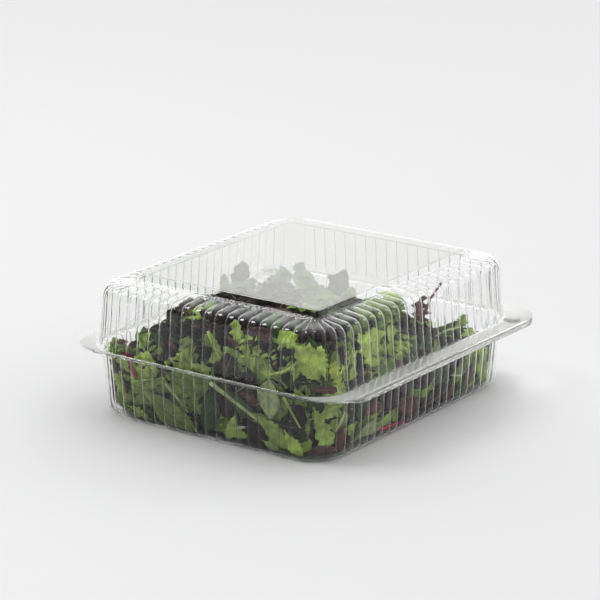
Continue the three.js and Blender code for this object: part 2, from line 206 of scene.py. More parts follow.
# lid
def lidPiece():
    halfX = lid["halfX"]
    halfY = halfX + box["halfY"] - box["halfX"]
    top = lidFloor + box["sheet"]

    def at(inset, z, relief=1.0, normal=(1.0, 0.0)):
        def spot(i):
            p = wallSpot(i, halfX, halfY, inset, z, relief, normal, 0.86)
            p.y = max(p.y, 1.0 - box["flangeHinge"])
            return p
        return spot

    def step(grow, z):
        def spot(i):
            stretch, t = stations[i][:2]
            p = outlinePoint(stretch, t, lid["panelHalfX"] + grow, lid["panelHalfY"] + grow,
                             max(lid["panelCorner"] + grow, 0.3))
            return Vector((p.x, p.y, z))
        return spot

    levels = [step(-3.4, lid["panel"]), step(-0.7, lid["panel"]), step(-0.15, lid["panel"] - 0.15),
              step(0.05, lid["panel"] - 0.6),
              step(lid["stepLean"] - 0.1, lid["ledge"] + 0.7),
              step(lid["stepLean"] + 0.25, lid["ledge"] + 0.12),
              step(lid["stepLean"] + 0.9, lid["ledge"])]
    ledgeInset = halfX - lid["panelHalfX"] - lid["stepLean"] - lid["ledgeWidth"]
    shoulder = lid["lean"] + lid["shoulderRun"]
    shoulderTop = lid["wallTop"] + lid["shoulderRise"]
    levels.append(at(ledgeInset, lid["ledge"], 0.0, (0, 1)))
    levels.append(at(ledgeInset - 1.2, lid["ledge"] - 0.05, 0.45, (0, 1)))
    levels.append(at(ledgeInset - 2.6, lid["ledge"] - 0.15, 0.85, (0, 1)))
    levels.append(at(mix(ledgeInset, shoulder, 0.6), mix(lid["ledge"], shoulderTop, 0.55), 1.0, (0.05, 1)))
    for k in range(0, 7):
        a = k / 6 * math.pi / 2 * 0.97
        levels.append(at(lid["lean"] + lid["shoulderRun"] * (1 - math.sin(a)),
                         lid["wallTop"] + lid["shoulderRise"] * math.cos(a), 1.0,
                         (math.sin(a), math.cos(a))))
    levels.append(at(lid["lean"] * 0.5, mix(top, lid["wallTop"], 0.5)))
    fillet = box["lidFillet"]
    levels.append(at(0.05, top + fillet * 2))
    levels.append(at(0.1, top + fillet, 0.6))
    levels.append(at(-fillet * 0.3, top + fillet * 0.3, 0.15))
    levels.append(at(-fillet, top, 0.0))
    levels.append(lambda i: rimSpot(i, 0.9, top))
    levels.append(lambda i: rimSpot(i, 0.15, top - 0.15))

    def skirtBottom(i):
        spot = rimSpot(i, 0.0, top)
        return Vector((spot.x, spot.y, top - fadedDrop(spot.y, box["skirtDrop"] + box["sheet"])))

    levels.append(skirtBottom)
    return finishSheet(sweptSheet(levels), "lid_shell", 1)


# small round forms: the buttons that lock the corners, and the bead along the hinge
fittings = {"buttonX": 100.2, "buttonY": 98.5, "radius": 5.9, "height": 2.4, "taper": 0.78, "play": 1.15,
            "beadRadius": 0.85, "beadHalf": 84.0, "beadY": -115.6}


def cornerButtons(name, radius, bottom, top):
    bm = bmesh.new()
    middleZ = (bottom + top) / 2
    for side in (-1, 1):
        middle = Vector((side * fittings["buttonX"], fittings["buttonY"], middleZ))
        bmesh.ops.create_cone(bm, cap_ends=True, segments=40, radius1=radius * mm,
                              radius2=radius * fittings["taper"] * mm, depth=(top - bottom) * mm,
                              matrix=Matrix.Translation(middle * mm))
    floors = [face for face in bm.faces if len(face.verts) > 4 and face.normal.z < 0]
    bmesh.ops.delete(bm, geom=floors, context="FACES")
    rims = [e for e in bm.edges if len(e.link_faces) == 2 and e.calc_face_angle() > 0.5
            and all(v.co.z > middleZ * mm for v in e.verts)]
    bmesh.ops.bevel(bm, geom=rims, offset=0.5 * mm, affect="EDGES", segments=3, profile=0.5, material=-1)
    bmesh.ops.solidify(bm, geom=bm.faces[:], thickness=box["sheet"] * mm)
    return newPiece(name, bm)


def hingeBead():
    bm = bmesh.new()
    radius = fittings["beadRadius"] * mm
    spot = Vector((0, fittings["beadY"], box["rimHeight"] + box["gap"] / 2)) * mm
    bmesh.ops.create_cone(bm, cap_ends=True, segments=20, radius1=radius, radius2=radius,
                          depth=2 * fittings["beadHalf"] * mm,
                          matrix=Matrix.Translation(spot) @ Matrix.Rotation(math.pi / 2, 4, "Y"))
    ends = [e for e in bm.edges if e.calc_face_angle() > 1]
    bmesh.ops.bevel(bm, geom=ends, offset=0.3 * mm, affect="EDGES", segments=3, profile=0.5, material=-1)
    return newPiece("hinge_bead", bm)


# salad
salad = {
    "seed": 7, "leafSheet": 0.35, "tuft": 7.0, "wallFill": 340, "topFill": 200,
    "bed": 40.0, "heap": 38.0, "endDip": 13.0, "sideDip": 4.0,
    "coreFloor": 3.0, "coreInset": 9.0, "coreUnder": 8.0,
}
draw = random.Random(salad["seed"])


# the heap is high against the two near walls and falls off to the end that opens
def moundHeight(x, y):
    heaped = smoothstep(x, -80, -24) * (1 - smoothstep(y, -25, 62))
    end = smoothstep(y, 50, 100)
    side = max(x / box["halfX"], 0) ** 4
    return salad["bed"] + salad["heap"] * heaped - salad["endDip"] * end - salad["sideDip"] * side


# a spot that would lie in or past the walls is brought in to them
def keepInside(p, extra=0.0):
    flare = box["flare"] * min(p.z / box["rimHeight"], 1)
    lean = lid["lean"] * max((p.z - box["rimHeight"]) / (lid["wallTop"] - box["rimHeight"]), 0)
    turned = max(box["foot"] - p.z, 0) * 0.75
    shoulder = max(p.z - lid["wallTop"] + 3, 0) * 1.5
    inset = box["ribDepth"] + box["sheet"] + 0.5 + extra + lean + turned + shoulder
    halfX = box["halfX"] + flare - inset
    halfY = box["halfY"] + flare - inset
    corner = box["corner"] - 3
    pastX = abs(p.x) - (halfX - corner)
    pastY = abs(p.y) - (halfY - corner)
    if pastX > 0 and pastY > 0:
        reach = math.hypot(pastX, pastY)
        if reach > corner:
            p.x = math.copysign(halfX - corner + pastX * corner / reach, p.x)
            p.y = math.copysign(halfY - corner + pastY * corner / reach, p.y)
    p.x = min(max(p.x, -halfX), halfX)
    p.y = min(max(p.y, -halfY), halfY)
    p.z = min(max(p.z, box["sheet"] + 1.4 + extra), lid["ledge"] - 3)
    return p


# half is the half width along a leaf, from stalk to tip, as shares of its widest place
leafShapes = {
    "round": {"rows": 16, "columns": 6, "stalk": 0.1, "half": (0.12, 0.66, 0.95, 1.0, 0.88, 0.6, 0.1),
              "teeth": 0, "tooth": 0.0, "ruffle": 1.2, "waves": 2.0, "cup": 0.16},
    "spinach": {"rows": 20, "columns": 6, "stalk": 0.05, "half": (0.3, 0.8, 1.0, 0.95, 0.8, 0.55, 0.1),
                "teeth": 0, "tooth": 0.0, "ruffle": 0.7, "waves": 1.5, "cup": 0.22},
    "lobed": {"rows": 30, "columns": 6, "stalk": 0.12, "half": (0.12, 0.5, 0.62, 0.8, 1.0, 0.95, 0.45),
              "teeth": 3.5, "tooth": 0.42, "ruffle": 2.8, "waves": 2.5, "cup": 0.12},
    "jagged": {"rows": 34, "columns": 6, "stalk": 0.12, "half": (0.1, 0.5, 0.8, 1.0, 0.95, 0.75, 0.3),
               "teeth": 6, "tooth": 0.34, "ruffle": 2.4, "waves": 3.0, "cup": 0.1},
    "frilly": {"rows": 36, "columns": 8, "stalk": 0.05, "half": (0.3, 0.7, 0.92, 1.0, 1.0, 0.95, 0.72),
               "teeth": 9, "tooth": 0.16, "ruffle": 4.6, "waves": 4.5, "cup": 0.1},
    "frond": {"rows": 36, "columns": 4, "stalk": 0.2, "half": (0.14, 0.5, 0.8, 1.0, 0.9, 0.7, 0.2),
              "teeth": 5, "tooth": 0.72, "ruffle": 1.6, "waves": 2.0, "cup": 0.1},
}
tones = {
    "light": (0.50, 0.67, 0.19), "lime": (0.62, 0.80, 0.20), "pale": (0.64, 0.74, 0.38),
    "mid": (0.25, 0.40, 0.09), "dark": (0.07, 0.15, 0.045), "olive": (0.34, 0.42, 0.14),
    "purple": (0.028, 0.012, 0.018), "mauve": (0.17, 0.095, 0.105), "redBrown": (0.20, 0.075, 0.06),
    "spinach": (0.065, 0.155, 0.03), "yellow": (0.60, 0.70, 0.12), "magenta": (0.56, 0.05, 0.13),
    "cream": (0.75, 0.76, 0.62),
}


def alongTable(table, t):
    place = min(max(t, 0.0), 1.0) * (len(table) - 1)
    k = min(int(place), len(table) - 2)
    return mix(table[k], table[k + 1], smoothstep(place - k, 0, 1) * 0.4 + (place - k) * 0.6)


# what gives every leaf its waves, in shares of its size or in millimetres
leafForm = {"wander": 0.22, "stalkWidth": 0.045, "fineRuffle": 0.35, "crinkle": 0.3, "lump": 1.1,
            "sway": 0.1}


# a leaf is a grid drawn out to its shape, waved, bent, twisted and put in its place
def addLeaf(bm, layers, shapeName, length, width, matrix, tone, bend, depth, twist, ceiling):
    shape = leafShapes[shapeName]
    spotLayer, tintLayer = layers
    grid = bmesh.ops.create_grid(bm, x_segments=shape["rows"], y_segments=shape["columns"], size=0.5)
    phase = draw.uniform(0, 6.28)
    phase2 = draw.uniform(0, 6.28)
    shade = draw.uniform(0.8, 1.2)
    ownNumber = draw.random()
    ruffle = shape["ruffle"] * draw.uniform(0.8, 1.25) * min(width / 22, 1.2)
    sway = draw.uniform(-leafForm["sway"], leafForm["sway"]) * length
    colour = [c * shade for c in tones[tone]]
    for v in grid["verts"]:
        t, s = v.co.x + 0.5, v.co.y * 2
        blade = max(t - shape["stalk"], 0.0) / (1 - shape["stalk"])
        half = width / 2 * alongTable(shape["half"], blade) if blade > 0 else 0.0
        half *= 1 + leafForm["wander"] * noise.noise(Vector((blade * 2.5, phase * 7, math.copysign(2, s))))
        if shape["teeth"] and blade > 0:
            saw = (blade * shape["teeth"] + 0.15 * math.copysign(1, s) + phase) % 1
            cut = shape["tooth"] * (1 - math.sin(math.pi * saw) ** 0.7)
            half *= 1 - cut * min(1.0, blade * 6)
        half = max(half, leafForm["stalkWidth"] * width * (1 - 0.5 * t))
        x = length * (t - 0.5)
        y = s * half
        rise = min(blade * 4, 1.0)  # the stalk stays plain
        edge = abs(s) ** 1.6 * rise
        z = shape["cup"] * abs(y)
        z += ruffle * edge * math.sin(2 * math.pi * shape["waves"] * blade + phase * math.copysign(1, s)
                                      + 1.3 * s)
        fine = math.sin(2.6 * math.pi * shape["waves"] * blade + phase2)
        z += leafForm["fineRuffle"] * ruffle * edge * fine
        z += leafForm["crinkle"] * math.cos(s * 7) * math.sin(blade * 30) * rise
        z += leafForm["lump"] * noise.noise(Vector((x * 0.16, y * 0.16, phase * 5))) * rise
        y += sway * math.sin(math.pi * t)
        if abs(bend) > 0.01:
            turn = bend * (t - 0.5) * 2
            reach = length / (2 * bend)
            x, z = (reach - z) * math.sin(turn), z * math.cos(turn) - reach * (1 - math.cos(turn))
        turned = twist * (t - 0.5)
        y, z = (y * math.cos(turned) - z * math.sin(turned),
                y * math.sin(turned) + z * math.cos(turned))
        p = matrix @ Vector((x, y, z))
        if ceiling:
            proud = max(p.z - moundHeight(p.x, p.y), 0)
            p.z -= proud - salad["tuft"] * (1 - math.exp(-proud / salad["tuft"]))
        v.co = keepInside(p, depth) * mm
        v[spotLayer] = (t, s, ownNumber)  # along, across, and the leaf's own number
        v[tintLayer] = (*colour, 1.0)


def leafMatrix(middle, along, face):
    along = Vector(along).normalized()
    across = Vector(face).cross(along).normalized()
    out = along.cross(across).normalized()
    m = Matrix((along, across, out)).transposed().to_4x4()
    m.translation = Vector(middle)
    return m


# a wall's places are given as (along its level, height); depth is measured in from the sheet
walls = {
    "hinge": {"level": Vector((1, 0, 0)), "face": Vector((0, -1, 0)), "reach": 108.0},
    "side": {"level": Vector((0, 1, 0)), "face": Vector((1, 0, 0)), "reach": 91.5},
    "corner": {"level": Vector((0.7071, 0.7071, 0)), "face": Vector((0.7071, -0.7071, 0)), "reach": 132.0},
    "far": {"level": Vector((-1, 0, 0)), "face": Vector((0, 1, 0)), "reach": 108.0},
    "left": {"level": Vector((0, -1, 0)), "face": Vector((-1, 0, 0)), "reach": 91.5},
}


def onWall(wall, spot, depth):
    side = walls[wall]
    return side["level"] * spot[0] + side["face"] * (side["reach"] - depth) + Vector((0, 0, spot[1]))


# one piece for each kind of leaf, and one for stems
bunchOf = {"round": "chard_leaves", "spinach": "spinach_leaves", "lobed": "oak_leaves",
           "jagged": "mustard_leaves", "frilly": "frilly_leaves", "frond": "frisee_leaves"}
bunches = {}


def bunch(name):
    if name not in bunches:
        bm = bmesh.new()
        bunches[name] = (bm, (bm.verts.layers.float_vector.new("leafSpot"),
                              bm.verts.layers.float_color.new("leafTint"),
                              bm.verts.layers.int.new("place")))
    return bunches[name]


def leafBetween(shape, tone, root, tip, width, face, depth=0.0, bend=0.0, twist=0.0, ceiling=False):
    bm, layers = bunch(bunchOf[shape])
    along = tip - root
    m = leafMatrix((root + tip) / 2, along, face)
    addLeaf(bm, layers[:2], shape, along.length, width, m, tone, bend, depth, twist, ceiling)


def addStem(wall, spots, radius, tone, depth):
    bm, (spotLayer, tintLayer, placeLayer) = bunch("stems")
    path = [onWall(wall, spot, depth) for spot in spots]
    steps = 10
    edges = []
    for step in range(steps + 1):
        t = step / steps * (len(path) - 1)
        k = min(int(t), len(path) - 2)
        before = path[max(k - 1, 0)]
        after = path[min(k + 2, len(path) - 1)]
        f = t - k
        chord = path[k].lerp(path[k + 1], f)
        middle = chord + (path[k] * 2 - before - path[k + 1]) * f * (1 - f) ** 2 * 0.5
        middle += (path[k + 1] * 2 - path[k] - after) * (1 - f) * f ** 2 * 0.5
        frameAt = leafMatrix(middle, path[k + 1] - path[k], walls[wall]["face"])
        r = radius * mix(1.1, 0.75, step / steps)
        if step == 0:
            ring = bmesh.ops.create_circle(bm, cap_ends=True, segments=8, radius=1.0)["verts"]
            for i, v in enumerate(ring):
                v[placeLayer] = i
            edges = list({e for v in ring for e in v.link_edges})
        else:
            grown = bmesh.ops.extrude_edge_only(bm, edges=edges)["geom"]
            ring = [g for g in grown if isinstance(g, bmesh.types.BMVert)]
            edges = [e for e in grown if isinstance(e, bmesh.types.BMEdge)
                     and all(v in ring for v in e.verts)]
        for v in ring:
            a = v[placeLayer] * math.pi / 4
            v.co = keepInside(frameAt @ Vector((0, r * math.cos(a), r * math.sin(a)))) * mm
            v[spotLayer] = (0.5, 0.9, 0.5)
            v[tintLayer] = (*tones[tone], 1.0)
    bmesh.ops.contextual_create(bm, geom=edges)


# shape, tone, root, tip, width, depth
hingeLeaves = [
    ("round", "olive", (-46, 25), (-8, 4), 20, 0.2),
    ("round", "dark", (4, 37), (-1, 5), 15, 0.6),
    ("round", "mid", (-34, 39), (8, 38), 14, 1.6),
    ("round", "mid", (-11, 44), (-16, 28), 10, 2.2),
    ("round", "pale", (51, 53), (52, 25), 17, 0.0),
    ("jagged", "light", (24, 24), (16, 4), 9, 0.4),
    ("jagged", "light", (13, 9), (33, 9), 7, 0.2),
    ("jagged", "light", (38, 26), (63, 8), 14, 0.6),
    ("jagged", "lime", (62, 20), (75, 4), 12, 0.0),
    ("jagged", "light", (44, 9), (57, 5), 7, 0.3),
    ("frond", "light", (-79, 32), (-66, 18), 9, 0.1),
    ("frond", "mid", (-62, 6), (-74, 17), 9, 0.3),
    ("jagged", "olive", (-78, 9), (-58, 17), 8, 0.6),
    ("frond", "light", (-61, 24), (-33, 35), 7, 0.5),
    ("lobed", "light", (-52, 27), (-38, 17), 9, 1.2),
    ("lobed", "purple", (-82, 38), (-70, 33), 8, 0.5),
    ("lobed", "redBrown", (-78, 43), (-67, 31), 7, 1.0),
    ("frond", "light", (-67, 11), (-46, 3), 9, 0.8),
    ("round", "dark", (-60, 11), (-42, 2), 12, 2.2),
    ("round", "purple", (2, 38), (16, 21), 12, 1.4),
    ("round", "purple", (21, 37), (13, 18), 15, 2.0),
    ("round", "purple", (25, 17), (47, 8), 16, 1.6),
    ("lobed", "purple", (47, 24), (77, 24), 9, 1.0),
    ("round", "dark", (16, 38), (40, 22), 12, 1.2),
    ("round", "olive", (30, 25), (58, 19), 10, 1.8),
    ("lobed", "redBrown", (26, 37), (41, 32), 8, 0.9),
    ("round", "purple", (63, 37), (78, 28), 14, 1.6),
    ("lobed", "purple", (-31, 61), (-24, 86), 9, 8),
    ("lobed", "purple", (-21, 54), (-34, 79), 11, 9),
    ("round", "purple", (-11, 55), (-17, 80), 16, 10),
    ("round", "purple", (2, 55), (-6, 77), 15, 11),
    ("lobed", "olive", (-11, 46), (-21, 63), 13, 6),
    ("lobed", "redBrown", (-27, 50), (-34, 59), 6, 7),
    ("round", "dark", (-39, 50), (-43, 64), 7, 8),
    ("round", "mid", (-56, 52), (-62, 59), 4, 8),
    ("frond", "light", (-53, 47), (-45, 53), 3.5, 8),
    ("lobed", "olive", (-66, 45), (-85, 49), 6, 8),
    ("frond", "redBrown", (-83, 46), (-69, 51), 4, 8),
    ("lobed", "light", (-50, 45), (-39, 52), 5, 8),
    ("lobed", "mid", (0, 74), (-9, 87), 10, 11),
    ("frond", "light", (15, 50), (0, 72), 5, 4),
    ("jagged", "lime", (20, 63), (17, 81), 10, 8),
    ("lobed", "redBrown", (12, 72), (22, 64), 4, 6),
    ("jagged", "light", (36, 55), (11, 63), 7, 5),
    ("jagged", "light", (59, 46), (22, 57), 11, 6),
    ("frilly", "lime", (35, 52), (28, 74), 15, 8),
    ("frilly", "light", (47, 52), (39, 70), 14, 9),
    ("round", "purple", (54, 46), (52, 70), 11, 11),
    ("round", "purple", (36, 67), (30, 83), 15, 14),
    ("round", "purple", (19, 66), (15, 80), 14, 14),
    ("frond", "light", (70, 46), (68, 64), 7, 5),
    ("frond", "mid", (49, 52), (71, 65), 6, 5),
    ("lobed", "purple", (78, 49), (70, 63), 9, 10),
    ("round", "purple", (-43, 50), (-37, 66), 9, 9),
    ("jagged", "light", (-2, 50), (12, 58), 8, 5),
    ("round", "olive", (2, 60), (-5, 68), 8, 7),
    ("lobed", "light", (30, 48), (20, 53), 8, 5),
]
sideLeaves = [
    ("jagged", "pale", (-72, 9), (-43, 9), 10, 0.1),
    ("lobed", "redBrown", (-64, 21), (-42, 23), 10, 0.8),
    ("jagged", "light", (-49, 13), (-29, 14), 7, 0.4),
    ("round", "redBrown", (4, 2), (-25, 19), 15, 0.4),
    ("round", "mauve", (-19, 4), (-5, 18), 14, 1.0),
    ("lobed", "purple", (-1, 9), (38, 14), 18, 0.6),
    ("round", "dark", (19, 19), (36, 30), 14, 1.0),
    ("round", "mid", (57, 28), (40, 16), 12, 0.4),
    ("round", "mauve", (57, 5), (64, 23), 10, 0.2),
    ("round", "light", (74, 29), (82, 5), 12, 0.0),
    ("round", "mauve", (70, 7), (83, 13), 7, 0.1),
    ("lobed", "dark", (39, 5), (57, 10), 9, 0.3),
    ("round", "purple", (-38, 19), (-19, 27), 16, 1.8),
    ("round", "purple", (-56, 26), (-31, 29), 15, 2.4),
    ("lobed", "purple", (-80, 19), (-58, 25), 14, 2.0),
    ("round", "dark", (-70, 23), (-51, 29), 12, 1.6),
    ("round", "purple", (-3, 24), (20, 27), 14, 1.4),
    ("lobed", "redBrown", (27, 7), (45, 10), 10, 1.2),
    ("lobed", "redBrown", (-71, 43), (-48, 48), 9, 5.5),
    ("jagged", "lime", (-38, 45), (-58, 72), 20, 6.5),
    ("jagged", "lime", (-28, 42), (-44, 73), 18, 7.2),
    ("jagged", "lime", (-15, 40), (-25, 71), 19, 6.9),
    ("frilly", "lime", (1, 39), (-4, 58), 14, 6.2),
    ("frilly", "light", (-6, 39), (-14, 64), 15, 7.5),
    ("lobed", "purple", (-56, 47), (-2, 41), 7, 5.5),
    ("frilly", "mid", (-31, 66), (-21, 87), 20, 11.5),
    ("jagged", "mid", (-42, 66), (-44, 88), 18, 12.5),
    ("frilly", "mid", (-10, 68), (-4, 81), 12, 11.5),
    ("round", "light", (2, 66), (-12, 90), 18, 13.5),
    ("spinach", "spinach", (-22, 67), (62, 52), 13, 7.5),
    ("round", "mauve", (-12, 58), (18, 43), 13, 7.5),
    ("frilly", "light", (54, 47), (67, 53), 8, 7.5),
    ("jagged", "light", (61, 40), (78, 42), 6, 7.5),
    ("lobed", "olive", (18, 42), (48, 44), 9, 6.5),
    ("frilly", "redBrown", (20, 54), (17, 78), 14, 12),
    ("jagged", "lime", (-50, 44), (-34, 62), 20, 6.2),
    ("frilly", "lime", (-20, 44), (-6, 60), 16, 6.0),
    ("round", "mauve", (-8, 44), (10, 52), 10, 6.4),
    ("jagged", "mid", (-34, 60), (-30, 80), 16, 10),
    ("round", "light", (70, 29), (79, 12), 12, 0.2),
]
cornerLeaves = [
    ("lobed", "light", (-16, 38), (-4, 11), 15, 0.0),
    ("jagged", "light", (-19, 29), (5, 37), 8, 0.4),
    ("frilly", "light", (-8, 30), (4, 40), 11, 1.0),
    ("round", "mauve", (-22, 7), (2, 8), 7, 0.0),
    ("round", "redBrown", (1, 4), (10, 22), 10, 0.3),
    ("lobed", "purple", (-18, 31), (-0, 5), 24, 2.0),
    ("frond", "pale", (-0, 21), (11, 31), 4, 0.0),
    ("jagged", "lime", (-10, 52), (-29, 75), 14, 4),
    ("frilly", "lime", (-12, 52), (-21, 75), 13, 5),
    ("jagged", "lime", (-7, 53), (-11, 75), 11, 4),
    ("frilly", "yellow", (6, 48), (-2, 64), 11, 4),
    ("round", "mid", (3, 57), (-1, 71), 10, 6),
    ("lobed", "redBrown", (-19, 49), (2, 46), 6, 3),
    ("round", "purple", (13, 75), (7, 87), 14, 14),
    ("round", "purple", (6, 60), (4, 73), 12, 10),
    ("round", "purple", (-17, 73), (-19, 85), 14, 14),
    ("round", "purple", (-4, 72), (-6, 85), 14, 14),
]
for wall, leaves in (("hinge", hingeLeaves), ("side", sideLeaves), ("corner", cornerLeaves)):
    for shape, tone, root, tip, width, depth in leaves:
        free = smoothstep(depth, 2.5, 6)
        leafBetween(shape, tone, onWall(wall, root, depth), onWall(wall, tip, depth), width,
                    walls[wall]["face"] + Vector((0, 0, draw.uniform(-0.1, 0.5) * free)), min(depth, 3.0),
                    draw.uniform(-0.1, 0.5) * free, draw.uniform(-0.5, 0.5) * free)

# leaves that stand up under the panel: shape, tone, root, tip, width
standing = [
    ("lobed", "mauve", (-50, -4, 63), (-47, -2, 84), 11),
    ("jagged", "light", (-43, -29, 72), (-43, -30, 84), 6),
    ("lobed", "light", (-24, 2, 62), (-20, 5, 84), 12),
    ("jagged", "light", (-19, -16, 70), (-16, -13, 84), 9),
    ("lobed", "pale", (-18, 20, 58), (-18, 19, 84), 13),
    ("lobed", "light", (5, -0, 67), (4, -1, 84), 11),
    ("round", "mauve", (12, 22, 65), (15, 24, 84), 13),
    ("lobed", "mauve", (19, 12, 77), (14, 8, 84), 5),
    ("jagged", "light", (30, -13, 74), (23, -18, 84), 10),
    ("jagged", "light", (41, -9, 75), (44, -7, 84), 8),
]
for shape, tone, root, tip, width in standing:
    deep = Vector(root) - (Vector(tip) - Vector(root)) * 0.5
    leafBetween(shape, tone, deep, Vector(tip), width * 1.15, Vector((0.5, -0.8, 0.3)), 0.0,
                draw.uniform(0, 0.4), draw.uniform(-0.5, 0.5))

# wall, places, radius, tone, depth
stems = [
    ("hinge", ((-32, 32), (-24, 25), (-14, 16)), 0.8, "pale", 0.6),
    ("hinge", ((4, 39), (22, 31), (41, 22)), 1.4, "pale", 0.9),
    ("hinge", ((-64, 47), (-61, 39), (-56, 31)), 1.3, "magenta", 1.4),
    ("hinge", ((61, 41), (67, 33), (74, 23)), 0.9, "light", 0.6),
    ("hinge", ((24, 12), (27, 14), (31, 15)), 1.1, "cream", 0.9),
    ("hinge", ((-70, 33), (-66, 22), (-66, 12)), 0.8, "light", 1.2),
    ("hinge", ((-60, 27), (-48, 31), (-34, 35)), 0.6, "light", 0.8),
    ("hinge", ((0, 72), (5, 62), (15, 50)), 0.9, "lime", 4.0),
    ("hinge", ((-53, 47), (-58, 54), (-61, 58)), 0.6, "light", 7.0),
    ("hinge", ((49, 52), (60, 57), (71, 65)), 1.1, "lime", 4.5),
    ("hinge", ((67, 61), (67, 53), (69, 46)), 1.0, "light", 4.0),
    ("side", ((-42, 7), (-26, 5), (-8, 3)), 1.7, "magenta", 1.9),
    ("corner", ((0, 20), (6, 26), (12, 31)), 0.8, "pale", 0.8),
    ("side", ((17, 50), (38, 51), (58, 49)), 0.8, "pale", 6.0),
    ("side", ((19, 60), (28, 73), (42, 83)), 0.9, "redBrown", 11.0),
    ("side", ((38, 22), (48, 19), (56, 20)), 0.6, "cream", 0.6),
]
for stem in stems:
    addStem(*stem)

# smaller leaves that fill in behind and between: shape, tone, length, width, how many of twenty
fillKinds = [
    ("round", "dark", 30, 18, 3), ("lobed", "light", 34, 19, 2), ("frilly", "purple", 30, 20, 3),
    ("jagged", "mid", 33, 17, 2), ("round", "olive", 28, 16, 1), ("lobed", "purple", 32, 18, 2),
    ("spinach", "spinach", 36, 13, 1), ("frilly", "lime", 30, 20, 2), ("frond", "light", 36, 10, 2),
    ("round", "mauve", 28, 17, 1), ("jagged", "light", 30, 15, 1),
]
fillDeck = []
for kind in fillKinds:
    fillDeck += [kind[:4]] * kind[4]
darkDeck = [kind for kind in fillDeck if kind[1] in ("purple", "dark", "mauve")]
lightDeck = [kind for kind in fillDeck if kind[1] in ("light", "lime", "mid")]
wallShares = (("hinge", 0.26, 84), ("side", 0.28, 98), ("corner", 0.08, 16), ("far", 0.18, 84),
              ("left", 0.20, 98))
for wall, share, span in wallShares:
    count = round(salad["wallFill"] * share)
    for i in range(count):
        a = mix(-span, span, (i + draw.random()) / count)
        top = moundHeight(*onWall(wall, (a, 0), 6)[:2])
        z = top * (0.1 + 0.86 * ((i * 0.618) % 1))
        high = z > box["rimHeight"] + 14
        deck = darkDeck if high and draw.random() < 0.7 else fillDeck
        shape, tone, length, width = draw.choice(deck)
        turn = math.radians(draw.uniform(-80, 80))
        half = Vector((math.cos(turn), math.sin(turn))) * length * draw.uniform(0.4, 0.55)
        unseen = wall in ("far", "left")
        nearest = 2.6 if z < box["rimHeight"] else 9.5
        depth = draw.uniform(0.3, 4.5) if unseen else nearest + draw.uniform(0, 4.5)
        middle = Vector((a, z))
        leafBetween(shape, tone, onWall(wall, middle - half, depth), onWall(wall, middle + half, depth),
                    width, walls[wall]["face"], min(depth, 3.5), draw.uniform(-0.2, 0.4),
                    draw.uniform(-0.4, 0.4), True)
for i in range(salad["topFill"]):
    turn = i * 2.39996
    reach = math.sqrt((i + 0.5) / salad["topFill"])
    x = 84 * reach * math.cos(turn)
    y = 99 * reach * math.sin(turn) - 2
    ridge = y < -52 or x > 48
    if ridge and draw.random() < 0.86:
        deck = darkDeck
    elif y < 20 and draw.random() < 0.6:
        deck = lightDeck
    else:
        deck = fillDeck
    shape, tone, length, width = draw.choice(deck)
    heading = draw.uniform(0, 2 * math.pi)
    rise = math.radians(draw.uniform(-10, 50))
    along = Vector((math.cos(heading) * math.cos(rise), math.sin(heading) * math.cos(rise), math.sin(rise)))
    middle = Vector((x, y, moundHeight(x, y) - draw.uniform(0, 6)))
    face = Vector((draw.uniform(-0.5, 0.5), draw.uniform(-0.5, 0.5), 1))
    leafBetween(shape, tone, middle - along * length / 2, middle + along * length / 2, width, face, 0.0,
                draw.uniform(0.1, 0.7), draw.uniform(-0.6, 0.6), True)

print("leaves laid out")


# a near-black mass under the leaves: painted shade in the gaps between them
def saladShadeCore():
    bm = bmesh.new()
    bmesh.ops.create_cube(bm, size=2.0)
    bmesh.ops.subdivide_edges(bm, edges=bm.edges[:], cuts=22, use_grid_fill=True)
    for v in bm.verts:
        x = v.co.x * (box["halfX"] - salad["coreInset"])
        y = v.co.y * (box["halfY"] - salad["coreInset"])
        high = moundHeight(x, y) - salad["coreUnder"]
        z = mix(salad["coreFloor"], high, (v.co.z + 1) / 2)
        p = keepInside(Vector((x, y, z)), 7.0)
        lump = noise.noise(p * 0.09) * 3.0 + noise.noise(p * 0.3) * 1.2
        p += Vector((v.co.x, v.co.y, v.co.z)) * lump * 0.6
        v.co = p * mm
    bmesh.ops.recalc_face_normals(bm, faces=bm.faces)
    return newPiece("salad_painted_shade_core", bm)


# materials
def newMaterial(name):
    material = bpy.data.materials.new(name)
    material.use_nodes = True
    tree = material.node_tree
    tree.nodes.clear()
    return material, tree.nodes, tree.links


# clear sheet, which lets the softboxes through to the leaves
def clearPlastic(name, colour, clarity, shade):
    material, nodes, links = newMaterial(name)
    out = nodes.new("ShaderNodeOutputMaterial")
    plastic = nodes.new("ShaderNodeBsdfPrincipled")
    plastic.inputs["Base Color"].default_value = (*colour, 1)
    plastic.inputs["Roughness"].default_value = 0.0
    plastic.inputs["IOR"].default_value = 1.42
    plastic.inputs["Transmission Weight"].default_value = clarity
    clear = nodes.new("ShaderNodeBsdfTransparent")
    clear.inputs["Color"].default_value = (shade, shade, shade, 1)
    path = nodes.new("ShaderNodeLightPath")
    blend = nodes.new("ShaderNodeMixShader")
    links.new(path.outputs["Is Shadow Ray"], blend.inputs["Fac"])
    links.new(plastic.outputs["BSDF"], blend.inputs[1])
    links.new(clear.outputs["BSDF"], blend.inputs[2])
    links.new(blend.outputs["Shader"], out.inputs["Surface"])
    return material


